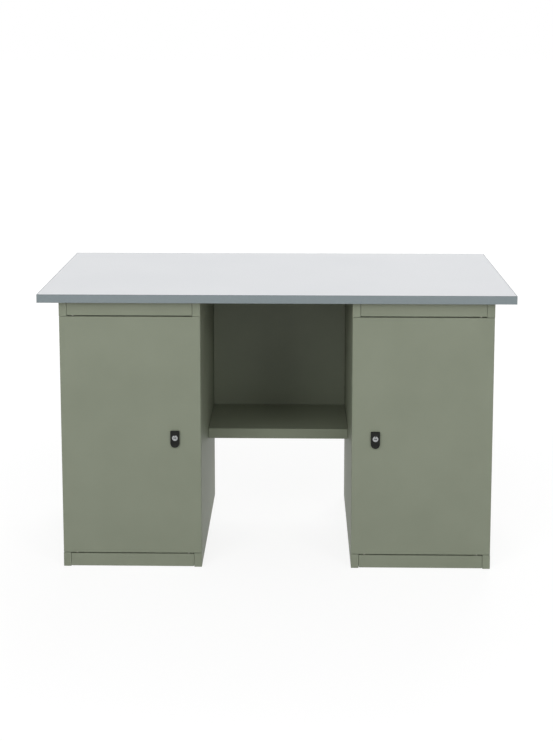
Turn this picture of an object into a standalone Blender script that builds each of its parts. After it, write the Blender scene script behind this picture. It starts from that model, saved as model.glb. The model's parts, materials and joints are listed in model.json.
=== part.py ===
# Double pedestal workbench: a laminated worktop on two lockable steel cupboards, with a low
# shelf and a back panel across the knee space.
# Metres, +Z up. The origin is on the floor under the middle of the worktop. The front faces -Y,
# and the pedestals stand at -X (left) and +X (right).
from math import cos, pi, radians, sin

import bmesh
import bpy
from mathutils import Matrix, Vector

MM = 0.001

# Gaps between separate solids
FIT_GAP = 0.3 * MM  # between pieces that rest on, or are fixed to, each other
GLUE_LINE = 0.1 * MM  # between the bonded layers of the worktop
JOINT_LINE = 0.5 * MM  # visible butt joint between two folded sheets
OVERCUT = 1 * MM  # how far a cutter runs past the face it cuts

# Worktop: board faced with laminate on both sides and banded on four edges
TOP_WIDTH = 1500 * MM
TOP_DEPTH = 750 * MM
BENCH_HEIGHT = 900 * MM
CORE_THICKNESS = 25 * MM
LAMINATE_THICKNESS = 0.7 * MM
BAND_THICKNESS = 2 * MM
BAND_EDGE_RADIUS = 0.8 * MM

# Pedestals: where they stand and their overall size
PEDESTAL_WIDTH = 447 * MM
PEDESTAL_DEPTH = 650 * MM
SIDE_OVERHANG = 63 * MM  # of the worktop past the pedestals
FRONT_SETBACK = 30 * MM  # worktop edge to the pedestal fronts

# Carcass sheet metal
SHEET = 1.2 * MM
FOLD_RADIUS = 1.5 * MM  # outside radius of a fold
POST_WIDTH = 25 * MM  # flange round each side panel, whose front is the corner post
POST_RETURN = 12 * MM  # second fold of that flange, parallel to the side panel
RAIL_HEIGHT = 46 * MM
PLINTH_HEIGHT = 41.7 * MM
PLINTH_CLEARANCE = 1.4 * MM  # the plinth hangs this far off the floor
PLINTH_CORNER_RADIUS = 2.5 * MM
TRAY_DEPTH = 25 * MM  # depth of the base, the top panel and the shelf
TRAY_RETURN = 10 * MM
BASE_RISE = 3 * MM  # the cupboard floor stands this much above the plinth

# Shelf and its bearers
SHELF_TOP = 520 * MM
SHELF_CLEARANCE = 1 * MM  # all round, so that the shelf lifts out
SHELF_SHEET = 1 * MM
BEARER_HEIGHT = 20 * MM
SLOT_PITCH = 50 * MM
SLOT_WIDTH = 3 * MM
SLOT_HEIGHT = 10 * MM
SLOTS_EACH_WAY = 5  # above and below the one in use

# Doors: flush with the posts and as wide as the pedestal
DOOR_SHEET = 1 * MM
DOOR_THICKNESS = 18 * MM
DOOR_RETURN = 16 * MM
DOOR_SIDE_INSET = 0.5 * MM
DOOR_RAIL_GAP = 3.5 * MM  # to the rail above and the plinth below
DOOR_POST_GAP = 1 * MM  # to the corner posts above and below
DOOR_BACK_GAP = 4.5 * MM  # to the side panels' recessed front flange
DOOR_CORNER_RADIUS = 1 * MM
STIFFENER_WIDTH = 70 * MM
STIFFENER_FOOT = 15 * MM

# Hinge pins, near each door's outer edge
PIN_RADIUS = 3 * MM
PIN_FROM_EDGE = 8 * MM
PIN_FROM_FACE = 9 * MM
PIN_REACH = 12 * MM  # from the post's flange, each way
PIN_COLLAR_RADIUS = 5.5 * MM
PIN_COLLAR_HEIGHT = 2 * MM

# Glides: push-in studs in the gaps above and below the door
GLIDE_RADIUS = 3.5 * MM
GLIDE_STEM_RADIUS = 1.8 * MM
GLIDE_STEM_LENGTH = 4 * MM
GLIDE_FROM_END = 17.5 * MM  # in from the end of the plinth or rail
GLIDE_CHAMFER = 0.8 * MM

# Locks
LOCK_HEIGHT = 431 * MM
LOCK_FROM_EDGE = {"left": 83 * MM, "right": 75 * MM}  # from the knee-side edge
HOUSING_WIDTH = 29 * MM
HOUSING_ABOVE = 22.3 * MM  # from the cylinder's axis to the flat top
HOUSING_BELOW = 32 * MM  # from the axis to the round end
HOUSING_PROUD = 7 * MM
HOUSING_EDGE = 1.4 * MM
HOUSING_CORNER_RADIUS = 2.5 * MM
BOSS_WALL = 3 * MM  # round the barrel, where the housing passes through the door
BOSS_LENGTH = 7 * MM
SCOOP_DEPTH = 2.6 * MM
SCOOP_MARGIN = 3 * MM  # to the housing's edge
SCOOP_FROM_FACE = 1.5 * MM  # below the cylinder's face
CYLINDER_FACE_RADIUS = 9.75 * MM
CYLINDER_FACE_HEIGHT = 2.4 * MM
CYLINDER_PROUD = 0.8 * MM  # the silver face stands this far out of its housing
CYLINDER_CHAMFER = 0.8 * MM
BARREL_RADIUS = 8 * MM
STUD_RADIUS = 4 * MM
STUD_HEAD_RADIUS = 6 * MM
STUD_HEAD_HEIGHT = 2 * MM
KEYWAY_WIDTH = 2 * MM
KEYWAY_HEIGHT = 8 * MM
KEYWAY_DEPTH = 5 * MM
NUT_WALL = 2.7 * MM
NUT_HEIGHT = 4 * MM
CAM_THICKNESS = 2.5 * MM
CAM_WIDTH = 16 * MM
CAM_CORNER_RADIUS = 4 * MM
CAM_EDGE = 0.3 * MM
CAM_GAP = 0.5 * MM  # between the turned cam and the keeper
CAM_OVERLAP = 11 * MM  # how far the turned cam reaches behind the keeper
KEEPER_SHEET = 1.5 * MM
KEEPER_WIDTH = 20.7 * MM
KEEPER_DEPTH = 14 * MM
KEEPER_HEIGHT = 50 * MM
KEEPER_SETBACK = 1.5 * MM  # behind the side panel's front flange

# Shelf and back panel across the knee space
KNEE_SHELF_TOP = 358 * MM
KNEE_SHELF_SETBACK = 323 * MM  # from the pedestal fronts
KNEE_SHELF_LIP = 34.5 * MM
KNEE_PANEL_SETBACK = 10 * MM  # of the back panel from the pedestals' backs
KNEE_PANEL_FLANGE = 25 * MM
KNEE_RETURN = 12 * MM

# Screws that hold the worktop, one through each side panel's top flange
SCREW_RADIUS = 2.5 * MM
SCREW_HEAD_RADIUS = 5 * MM
SCREW_HEAD_HEIGHT = 3 * MM
SCREW_BITE = 15 * MM  # into the worktop
SCREW_FROM_RETURN = 7 * MM  # from the inner fold of that flange

# Bolts welded on the ends of the knee shelf, with their nuts inside the pedestals
BOLT_RADIUS = 3 * MM
BOLT_END = 1 * MM  # how far it stands out of its nut
BOLT_NUT_RADIUS = 5.5 * MM
BOLT_NUT_HEIGHT = 4 * MM
BOLT_DROP = 18 * MM  # below the top of the shelf

# Worked out from the sizes above
TOP_THICKNESS = CORE_THICKNESS + 2 * (LAMINATE_THICKNESS + GLUE_LINE)
UNDERSIDE = BENCH_HEIGHT - TOP_THICKNESS
CARCASS_TOP = UNDERSIDE - FIT_GAP
FRONT = -TOP_DEPTH / 2 + FRONT_SETBACK
OUTER = TOP_WIDTH / 2 - SIDE_OVERHANG
PLINTH_TOP = PLINTH_CLEARANCE + PLINTH_HEIGHT
RAIL_BOTTOM = CARCASS_TOP - RAIL_HEIGHT
DOOR_BOTTOM = PLINTH_TOP + DOOR_RAIL_GAP
DOOR_TOP = RAIL_BOTTOM - DOOR_RAIL_GAP
POST_LOW = DOOR_BOTTOM - DOOR_POST_GAP  # top of the lower post
POST_HIGH = DOOR_TOP + DOOR_POST_GAP  # bottom of the upper post
RECESS = DOOR_THICKNESS + DOOR_BACK_GAP
FRONT_DEPTH = RECESS + POST_RETURN  # how far back the rail and the plinth run
TRAY_FRONT = FRONT_DEPTH + FIT_GAP
BACK_FACE = PEDESTAL_DEPTH - POST_RETURN
TRAY_BACK = BACK_FACE - FIT_GAP
TRAY_SIDE = SHEET + FIT_GAP
BASE_TOP = PLINTH_TOP + BASE_RISE
PANEL_TOP = CARCASS_TOP - POST_RETURN - FIT_GAP
BEARER_TOP = SHELF_TOP - TRAY_DEPTH - FIT_GAP
BEARER_EDGE = POST_WIDTH - SHEET - FIT_GAP
FRONT_SLOT = RECESS + POST_RETURN / 2
BACK_SLOT = PEDESTAL_DEPTH - POST_RETURN / 2
POST_EDGE = POST_WIDTH + JOINT_LINE  # where the rail and the plinth begin
GLIDE_FROM_EDGE = POST_EDGE + GLIDE_FROM_END
SCREW_FROM_FACE = POST_WIDTH - SCREW_FROM_RETURN
STIFFENER_DEPTH = DOOR_THICKNESS - 2 * (DOOR_SHEET + FIT_GAP)
BOSS_RADIUS = BARREL_RADIUS + BOSS_WALL
NUT_ACROSS_FLATS = 2 * (BOSS_RADIUS + FIT_GAP + NUT_WALL)
KEEPER_FACE = POST_WIDTH + FIT_GAP
KEEPER_FRONT = RECESS + KEEPER_SETBACK
CAM_FRONT = KEEPER_FRONT + KEEPER_SHEET + CAM_GAP
KNEE_SHELF_FRONT = FRONT + KNEE_SHELF_SETBACK
KNEE_PANEL_FACE = PEDESTAL_DEPTH - KNEE_PANEL_SETBACK - KNEE_PANEL_FLANGE
KNEE_SHELF_DEPTH = KNEE_PANEL_FACE - FIT_GAP - KNEE_SHELF_SETBACK
KNEE_HALF = OUTER - PEDESTAL_WIDTH - JOINT_LINE

# Directions in a pedestal's own coordinates: U from its outer face towards the knee space,
# V from its front face towards the back, Z up from the floor
U = Vector((1, 0, 0))
V = Vector((0, 1, 0))
Z = Vector((0, 0, 1))


# Materials

def srgb(code):
    levels = [int(code[i : i + 2], 16) / 255 for i in (1, 3, 5)]
    return [c / 12.92 if c <= 0.04045 else ((c + 0.055) / 1.055) ** 2.4 for c in levels]


def material(name, colour, roughness, metallic=0.0):
    made = bpy.data.materials.new(name)
    made.use_nodes = True
    shader = made.node_tree.nodes["Principled BSDF"]
    shader.inputs["Base Color"].default_value = (*srgb(colour), 1)
    shader.inputs["Roughness"].default_value = roughness
    shader.inputs["Metallic"].default_value = metallic
    return made


# Building blocks

def add_box(shape, low, high):
    centre = (Vector(low) + Vector(high)) / 2
    size = Vector(high) - Vector(low)
    bmesh.ops.create_cube(shape, size=1, matrix=Matrix.Translation(centre) @ Matrix.Diagonal((*size, 1)))


def box(low, high):
    shape = bmesh.new()
    add_box(shape, low, high)
    return shape


def rectangle(low, high):
    return [(low[0], low[1]), (high[0], low[1]), (high[0], high[1]), (low[0], high[1])]


def ring(outline, inset, radius, steps):
    # The right-angled outline drawn in by inset, its outward corners rounded to what is left of
    # the radius. Every ring has the same number of points.
    points = []
    for i, corner in enumerate(outline):
        corner = Vector(corner)
        before = (corner - Vector(outline[i - 1])).normalized()
        after = (Vector(outline[(i + 1) % len(outline)]) - corner).normalized()
        inward = [Vector((-d.y, d.x)) for d in (before, after)]
        outward_corner = before.x * after.y - before.y * after.x > 0
        left = max(radius - inset, 0) if outward_corner else 0
        centre = corner + (inward[0] + inward[1]) * (inset + left)
        for step in range(steps + 1):
            angle = pi / 2 * step / steps
            points.append(centre - (inward[0] * cos(angle) + inward[1] * sin(angle)) * left)
    return points


def loft(outline, rings, axes, origin, radius=0.0, steps=2):
    # A closed solid through rings (inset, height) of the outline, capped at both ends.
    return through(
        [(ring(outline, inset, radius, steps), height) for inset, height in rings], axes, origin
    )


def through(levels, axes, origin):
    # A closed solid through (points, height) levels that have the same number of points.
    across, along, up = axes
    shape = bmesh.new()
    loops = []
    for points, height in levels:
        base = origin + up * height
        loops.append([shape.verts.new(base + across * x + along * y) for x, y in points])
    for lower, upper in zip(loops, loops[1:]):
        for i in range(len(lower)):
            j = (i + 1) % len(lower)
            shape.faces.new((lower[i], lower[j], upper[j], upper[i]))
    shape.faces.new(reversed(loops[0]))
    shape.faces.new(loops[-1])
    bmesh.ops.remove_doubles(shape, verts=shape.verts, dist=0.001 * MM)
    return shape


def rounded(radius, steps=2):
    # Steps (inset, height) round a quarter circle, from the flat face to the side.
    angles = [pi / 2 * i / steps for i in range(steps + 1)]
    return [(radius * (1 - sin(a)), radius * (1 - cos(a))) for a in angles]


def pan(outline, depth, sheet, axes, origin, back=0.0, radius=0.0):
    # A folded sheet: a flat face, flanges of the given depth all round, and, where back is
    # given, a return of that width on their free edges.
    rings = rounded(FOLD_RADIUS)
    if back:
        rings += [(inset, depth - height) for inset, height in reversed(rings)]
        rings += [(back, depth), (back, depth - sheet), (sheet, depth - sheet), (sheet, sheet)]
    else:
        rings += [(0, depth), (sheet, depth), (sheet, sheet)]
    return loft(outline, rings, axes, origin, radius)


def extruded(outline, axes, origin, length):
    return loft(outline, [(0, 0), (0, length)], axes, origin, steps=1)


def turned(profile, axis, origin, sides=24):
    # A solid of revolution from (radius, height) steps that start and end on the axis.
    side = axis.orthogonal().normalized()
    shape = bmesh.new()
    path = [shape.verts.new(origin + side * r + axis * h) for r, h in profile]
    edges = [shape.edges.new(pair) for pair in zip(path, path[1:])]
    turn = {"cent": origin, "axis": axis, "angle": 2 * pi, "steps": sides}
    bmesh.ops.spin(shape, geom=path + edges, use_merge=True, **turn)
    bmesh.ops.remove_doubles(shape, verts=shape.verts, dist=0.001 * MM)
    return shape


def rod(radius, start, axis, length, sides=24):
    return turned([(0, 0), (radius, 0), (radius, length), (0, length)], axis, start, sides)


def put(name, shape, finish=None, place=None):
    # Makes an object of the shape, moved by the place matrix and with its faces pointing out.
    if place:
        shape.transform(place)
    bmesh.ops.recalc_face_normals(shape, faces=shape.faces)
    if shape.calc_volume(signed=True) < 0:
        bmesh.ops.reverse_faces(shape, faces=shape.faces)
    mesh = bpy.data.meshes.new(name)
    shape.to_mesh(mesh)
    shape.free()
    thing = bpy.data.objects.new(name, mesh)
    bpy.context.collection.objects.link(thing)
    if finish:
        mesh.materials.append(finish)
    return thing


def combine(thing, shapes, operation, place=None):
    # Cuts the shapes out of the thing, or joins them to it, for good.
    for shape in shapes:
        tool = put("tool", shape, place=place)
        step = thing.modifiers.new("step", "BOOLEAN")
        step.operation = operation
        step.solver = "EXACT"
        step.object = tool
        graph = bpy.context.evaluated_depsgraph_get()
        made = bpy.data.meshes.new_from_object(thing.evaluated_get(graph))
        thing.modifiers.clear()
        thing.data = made
        bpy.data.objects.remove(tool)
    clean = bmesh.new()
    clean.from_mesh(thing.data)
    bmesh.ops.remove_doubles(clean, verts=clean.verts, dist=0.001 * MM)
    clean.to_mesh(thing.data)
    clean.free()
    return thing


def smooth(thing, angle=radians(35)):
    thing.data.shade_smooth()
    thing.data.set_sharp_from_angle(angle=angle)


def world_place(empty):
    return empty.location + world_place(empty.parent) if empty.parent else empty.location.copy()


def hang(thing, holder, point):
    # Gives the thing its origin at a point of the world, and a parent.
    thing.data.transform(Matrix.Translation(-point))
    thing.parent = holder
    thing.location = point - world_place(holder)


def joint_axis(name, point, holder=None):
    empty = bpy.data.objects.new(name, None)
    bpy.context.collection.objects.link(empty)
    empty.parent = holder
    empty.location = point - world_place(holder) if holder else point
    empty.empty_display_size = 50 * MM
    return empty


# Worktop

def worktop(finishes, screw_spots):
    half_x = TOP_WIDTH / 2 - BAND_THICKNESS - GLUE_LINE
    half_y = TOP_DEPTH / 2 - BAND_THICKNESS - GLUE_LINE
    core_low = UNDERSIDE + LAMINATE_THICKNESS + GLUE_LINE
    core_high = core_low + CORE_THICKNESS
    layers = (
        ("worktop_backer", UNDERSIDE, UNDERSIDE + LAMINATE_THICKNESS, "laminate"),
        ("worktop_core", core_low, core_high, "board"),
        ("worktop_laminate", BENCH_HEIGHT - LAMINATE_THICKNESS, BENCH_HEIGHT, "laminate"),
    )
    for name, low, high, finish in layers:
        layer = put(name, box((-half_x, -half_y, low), (half_x, half_y, high)), finishes[finish])
        if name != "worktop_laminate":
            holes = [screw_hole(spot) for spot in screw_spots]
            combine(layer, holes, "DIFFERENCE")

    for name, sign in (("front", -1), ("back", 1)):
        y = sorted((sign * TOP_DEPTH / 2, sign * (TOP_DEPTH / 2 - BAND_THICKNESS)))
        band = box((-TOP_WIDTH / 2, y[0], UNDERSIDE), (TOP_WIDTH / 2, y[1], BENCH_HEIGHT))
        ease(band, V * sign, ends=True)
        smooth(put("edge_band_" + name, band, finishes["edge"]))
    for name, sign in (("left", -1), ("right", 1)):
        x = sorted((sign * TOP_WIDTH / 2, sign * (TOP_WIDTH / 2 - BAND_THICKNESS)))
        band = box((x[0], -half_y, UNDERSIDE), (x[1], half_y, BENCH_HEIGHT))
        ease(band, U * sign, ends=False)
        smooth(put("edge_band_" + name, band, finishes["edge"]))


def ease(band, outward, ends):
    # Rounds the arrises of a band's outer face: the long ones, and at a corner the upright ones.
    band.normal_update()
    reach = max(v.co.dot(outward) for v in band.verts)
    edges = []
    for edge in band.edges:
        on_face = all(abs(v.co.dot(outward) - reach) < 0.01 * MM for v in edge.verts)
        upright = abs(edge.verts[0].co.z - edge.verts[1].co.z) > 0.01 * MM
        if on_face and (ends or not upright):
            edges.append(edge)
    rounding = {"offset": BAND_EDGE_RADIUS, "segments": 2, "profile": 0.5, "affect": "EDGES"}
    bmesh.ops.bevel(band, geom=edges, **rounding)


def screw_hole(spot):
    start = Vector((*spot, UNDERSIDE - OVERCUT))
    return rod(SCREW_RADIUS + FIT_GAP, start, Z, SCREW_BITE + OVERCUT + FIT_GAP, 12)


# Pedestal carcass

def slots(ends, v):
    # A cutter for one row of shelf slots through a side panel's return.
    row = bmesh.new()
    for step in range(-SLOTS_EACH_WAY, SLOTS_EACH_WAY + 1):
        low = BEARER_TOP - SHEET - FIT_GAP + step * SLOT_PITCH
        add_box(row, (ends[0], v - SLOT_WIDTH / 2, low), (ends[1], v + SLOT_WIDTH / 2, low + SLOT_HEIGHT))
    return row


def side_panel(name, outer, finishes, place):
    # A panel whose flange runs round its edge. Beside the door the flange is set back by the
    # recess, so above and below it the posts come forward.
    outline = [
        (0, 0),
        (PEDESTAL_DEPTH, 0),
        (PEDESTAL_DEPTH, CARCASS_TOP),
        (0, CARCASS_TOP),
        (0, POST_HIGH),
        (RECESS, POST_HIGH),
        (RECESS, POST_LOW),
        (0, POST_LOW),
    ]
    inward = U if outer else -U
    face = Vector() if outer else U * PEDESTAL_WIDTH
    shape = pan(outline, POST_WIDTH, SHEET, (V, Z, inward), face, back=POST_RETURN)
    panel = put(name, shape, finishes["paint"], place)
    ends = sorted((face + inward * d).x for d in (POST_WIDTH + OVERCUT, POST_WIDTH - SHEET - OVERCUT))
    holes = [slots(ends, FRONT_SLOT), slots(ends, BACK_SLOT)]
    screw = face + inward * SCREW_FROM_FACE + V * PEDESTAL_DEPTH / 2 + Z * CARCASS_TOP
    holes.append(through_hole(SCREW_RADIUS, screw, Z, SHEET, 12))
    if outer:
        for z in (POST_LOW, POST_HIGH):
            holes.append(through_hole(PIN_RADIUS, pin_spot(z), Z, SHEET))
    else:
        holes.append(through_hole(BOLT_RADIUS, bolt_spot(), U, SHEET, 12))
    combine(panel, holes, "DIFFERENCE", place)
    smooth(panel)


def through_hole(radius, spot, axis, sheet, sides=24):
    # A cutter that goes through a sheet on either side of the spot.
    reach = sheet + OVERCUT
    return rod(radius + FIT_GAP, spot - axis * reach, axis, 2 * reach, sides)


def pin_spot(z):
    return Vector((PIN_FROM_EDGE, PIN_FROM_FACE, z))


def bolt_spot():
    v = KNEE_SHELF_SETBACK + KNEE_SHELF_DEPTH / 2
    return Vector((PEDESTAL_WIDTH, v, KNEE_SHELF_TOP - BOLT_DROP))


def tray(name, top, sheet, side, front, back, finishes, place):
    # A panel laid flat, with its flanges folded down.
    outline = rectangle((side, front), (PEDESTAL_WIDTH - side, back))
    origin = Z * top
    shape = pan(outline, TRAY_DEPTH, sheet, (U, V, -Z), origin, TRAY_RETURN, FOLD_RADIUS)
    thing = put(name, shape, finishes["paint"], place)
    smooth(thing)
    return thing


def carcass(label, finishes, place):
    side_panel(label + "_outer_side", True, finishes, place)
    side_panel(label + "_inner_side", False, finishes, place)
    tray(label + "_base", BASE_TOP, SHEET, TRAY_SIDE, TRAY_FRONT, TRAY_BACK, finishes, place)
    panel = tray(label + "_top_panel", PANEL_TOP, SHEET, TRAY_SIDE, TRAY_FRONT, TRAY_BACK, finishes, place)
    holes = []
    for u in both_ends(SCREW_FROM_FACE):
        spot = Vector((u, PEDESTAL_DEPTH / 2, PANEL_TOP))
        holes.append(through_hole(SCREW_RADIUS, spot, Z, SHEET, 12))
    combine(panel, holes, "DIFFERENCE", place)

    stems = [Vector((u, PIN_FROM_FACE, 0)) for u in both_ends(GLIDE_FROM_EDGE)]
    fronts = (
        ("_top_rail", RAIL_BOTTOM, CARCASS_TOP, FOLD_RADIUS, RAIL_BOTTOM, stems[:1]),
        ("_plinth", PLINTH_CLEARANCE, PLINTH_TOP, PLINTH_CORNER_RADIUS, PLINTH_TOP, stems),
    )
    for ending, low, high, radius, edge, spots in fronts:
        outline = rectangle((POST_EDGE, low), (PEDESTAL_WIDTH - POST_EDGE, high))
        shape = pan(outline, FRONT_DEPTH, SHEET, (U, Z, V), Vector(), radius=radius)
        thing = put(label + ending, shape, finishes["paint"], place)
        holes = [through_hole(GLIDE_STEM_RADIUS, spot + Z * edge, Z, SHEET, 12) for spot in spots]
        combine(thing, holes, "DIFFERENCE", place)
        smooth(thing)

    side = POST_WIDTH + FIT_GAP
    outline = rectangle((side, PLINTH_CLEARANCE), (PEDESTAL_WIDTH - side, CARCASS_TOP - FIT_GAP))
    shape = pan(outline, POST_RETURN, SHEET, (U, Z, V), V * BACK_FACE, radius=FOLD_RADIUS)
    smooth(put(label + "_back", shape, finishes["paint"], place))


def both_ends(distance):
    return distance, PEDESTAL_WIDTH - distance


def shelf(label, finishes, place):
    side = SHEET + SHELF_CLEARANCE
    front = FRONT_DEPTH + SHELF_CLEARANCE
    back = BACK_FACE - SHELF_CLEARANCE
    tray(label + "_shelf", SHELF_TOP, SHELF_SHEET, side, front, back, finishes, place)
    for ending, mirrored in (("_shelf_bearer_outer", False), ("_shelf_bearer_inner", True)):
        bearer(label + ending, mirrored, finishes, place)


def bearer(name, mirrored, finishes, place):
    # An angle that lies along a side panel, hooked into the slots at both ends.
    def piece(near, far, v_low, v_high, low):
        ends = sorted(PEDESTAL_WIDTH - u if mirrored else u for u in (near, far))
        return box((ends[0], v_low, low), (ends[1], v_high, BEARER_TOP))

    front = RECESS + SHEET + JOINT_LINE
    back = PEDESTAL_DEPTH - SHEET - JOINT_LINE
    under = BEARER_TOP - SHEET
    web = piece(TRAY_SIDE, TRAY_SIDE + SHEET, front, back, BEARER_TOP - BEARER_HEIGHT)
    thing = put(name, web, finishes["zinc"], place)
    parts = [piece(TRAY_SIDE, BEARER_EDGE, front, back, under)]
    half_hook = SLOT_WIDTH / 2 - FIT_GAP
    for v in (FRONT_SLOT, BACK_SLOT):
        parts.append(piece(BEARER_EDGE - SHEET, POST_WIDTH, v - half_hook, v + half_hook, under))
    combine(thing, parts, "UNION", place)


def glides(label, finishes, place):
    # Nylon studs that fill the gap between the door and the plinth or rail.
    head = DOOR_RAIL_GAP - 2 * FIT_GAP
    profile = [
        (0, -GLIDE_STEM_LENGTH),
        (GLIDE_STEM_RADIUS, -GLIDE_STEM_LENGTH),
        (GLIDE_STEM_RADIUS, FIT_GAP),
        (GLIDE_RADIUS, FIT_GAP),
        (GLIDE_RADIUS, FIT_GAP + head - GLIDE_CHAMFER),
        (GLIDE_RADIUS - GLIDE_CHAMFER, FIT_GAP + head),
        (0, FIT_GAP + head),
    ]
    outer, inner = [Vector((u, PIN_FROM_FACE, 0)) for u in both_ends(GLIDE_FROM_EDGE)]
    studs = (
        ("_glide_low_outer", Z, outer + Z * PLINTH_TOP),
        ("_glide_low_inner", Z, inner + Z * PLINTH_TOP),
        ("_glide_high_outer", -Z, outer + Z * RAIL_BOTTOM),
    )
    for ending, axis, origin in studs:
        smooth(put(label + ending, turned(profile, axis, origin, 16), finishes["nylon"], place))


def hinge_pins(label, finishes, place):
    # Each pin is held by a post's flange and stands in a hole of the door. The lower one also
    # carries the door on its collar.
    gap = DOOR_POST_GAP - 2 * FIT_GAP
    lower = [
        (0, -PIN_REACH),
        (PIN_RADIUS, -PIN_REACH),
        (PIN_RADIUS, FIT_GAP),
        (PIN_COLLAR_RADIUS, FIT_GAP),
        (PIN_COLLAR_RADIUS, FIT_GAP + gap),
        (PIN_RADIUS, FIT_GAP + gap),
        (PIN_RADIUS, PIN_REACH - PIN_RADIUS / 2),
        (PIN_RADIUS / 2, PIN_REACH),
        (0, PIN_REACH),
    ]
    above = SHEET + FIT_GAP
    upper = [
        (0, -PIN_REACH),
        (PIN_RADIUS / 2, -PIN_REACH),
        (PIN_RADIUS, -PIN_REACH + PIN_RADIUS / 2),
        (PIN_RADIUS, above),
        (PIN_COLLAR_RADIUS, above),
        (PIN_COLLAR_RADIUS, above + PIN_COLLAR_HEIGHT),
        (0, above + PIN_COLLAR_HEIGHT),
    ]
    pins = (("_lower_hinge_pin", lower, POST_LOW), ("_upper_hinge_pin", upper, POST_HIGH))
    for ending, profile, z in pins:
        smooth(put(label + ending, turned(profile, Z, pin_spot(z), 20), finishes["zinc"], place))


def worktop_screws(label, finishes, place):
    head = PANEL_TOP - SHEET - FIT_GAP
    tip = UNDERSIDE + SCREW_BITE - head
    profile = [
        (0, -SCREW_HEAD_HEIGHT),
        (SCREW_HEAD_RADIUS - SCREW_HEAD_HEIGHT / 2, -SCREW_HEAD_HEIGHT),
        (SCREW_HEAD_RADIUS, -SCREW_HEAD_HEIGHT / 2),
        (SCREW_HEAD_RADIUS, 0),
        (SCREW_RADIUS, 0),
        (SCREW_RADIUS, tip - 2 * SCREW_RADIUS),
        (0, tip),
    ]
    for ending, u in zip(("outer", "inner"), both_ends(SCREW_FROM_FACE)):
        origin = Vector((u, PEDESTAL_DEPTH / 2, head))
        screw = turned(profile, Z, origin, 12)
        smooth(put(label + "_worktop_screw_" + ending, screw, finishes["zinc"], place))


def knee_shelf_bolt(label, finishes, place):
    # It stands on the shelf's end, and its nut is inside the pedestal.
    foot = FIT_GAP - JOINT_LINE
    nut = SHEET + FIT_GAP
    nut_end = nut + BOLT_NUT_HEIGHT
    profile = [
        (0, foot),
        (BOLT_RADIUS, foot),
        (BOLT_RADIUS, nut),
        (BOLT_NUT_RADIUS, nut),
        (BOLT_NUT_RADIUS, nut_end),
        (BOLT_RADIUS, nut_end),
        (BOLT_RADIUS, nut_end + BOLT_END),
        (0, nut_end + BOLT_END),
    ]
    bolt = turned(profile, -U, bolt_spot(), 12)
    smooth(put(label + "_knee_shelf_bolt", bolt, finishes["zinc"], place))


# Door and lock

def door(label, lock_u, finishes, place, axis):
    outline = rectangle((DOOR_SIDE_INSET, DOOR_BOTTOM), (PEDESTAL_WIDTH - DOOR_SIDE_INSET, DOOR_TOP))
    folds = {"back": DOOR_RETURN, "radius": DOOR_CORNER_RADIUS}
    shape = pan(outline, DOOR_THICKNESS, DOOR_SHEET, (U, Z, V), Vector(), **folds)
    skin = put(label + "_door_skin", shape, finishes["paint"], place)
    holes = [through_hole(BOSS_RADIUS, Vector((lock_u, 0, LOCK_HEIGHT)), V, DOOR_SHEET)]
    holes += [through_hole(PIN_RADIUS, pin_spot(z), Z, DOOR_SHEET) for z in (DOOR_BOTTOM, DOOR_TOP)]
    combine(skin, holes, "DIFFERENCE", place)
    smooth(skin)

    low = DOOR_BOTTOM + DOOR_SHEET + FIT_GAP
    high = DOOR_TOP - DOOR_SHEET - FIT_GAP
    near = DOOR_SHEET + FIT_GAP
    start = PEDESTAL_WIDTH / 2 - STIFFENER_WIDTH / 2
    hat = hat_section(STIFFENER_WIDTH, STIFFENER_FOOT, STIFFENER_DEPTH, DOOR_SHEET)
    shape = extruded(hat, (U, V, Z), Vector((start, near, low)), high - low)
    stiffener = put(label + "_door_stiffener", shape, finishes["paint"], place)
    for thing in (skin, stiffener):
        hang(thing, axis, world_place(axis))


def hat_section(width, foot, depth, sheet):
    return [
        (0, 0),
        (foot, 0),
        (foot, depth - sheet),
        (width - foot, depth - sheet),
        (width - foot, 0),
        (width, 0),
        (width, sheet),
        (width - foot + sheet, sheet),
        (width - foot + sheet, depth),
        (foot - sheet, depth),
        (foot - sheet, sheet),
        (0, sheet),
    ]


def bullet(width, above, below, corner, steps=12):
    # Flat top with small round corners and a half-round lower end, about the lock's axis.
    half = width / 2
    low = below - half
    angles = [pi + pi * i / steps for i in range(steps + 1)]
    points = [(half * cos(angle), half * sin(angle) - low) for angle in angles]
    for side, first in ((1, 0), (-1, pi / 2)):
        centre = (side * (half - corner), above - corner)
        for i in range(4):
            angle = first + pi / 2 * i / 3
            points.append((centre[0] + corner * cos(angle), centre[1] + corner * sin(angle)))
    return points


def plate(width, above, below, corner, edge, depth, origin):
    # A bullet-shaped plate that faces the front, where its edge is rounded.
    levels = []
    for inset, height in rounded(edge) + [(0, depth)]:
        points = bullet(width - 2 * inset, above - inset, below - inset, corner - inset)
        levels.append((points, height))
    return through(levels, (U, Z, V), origin)


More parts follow.
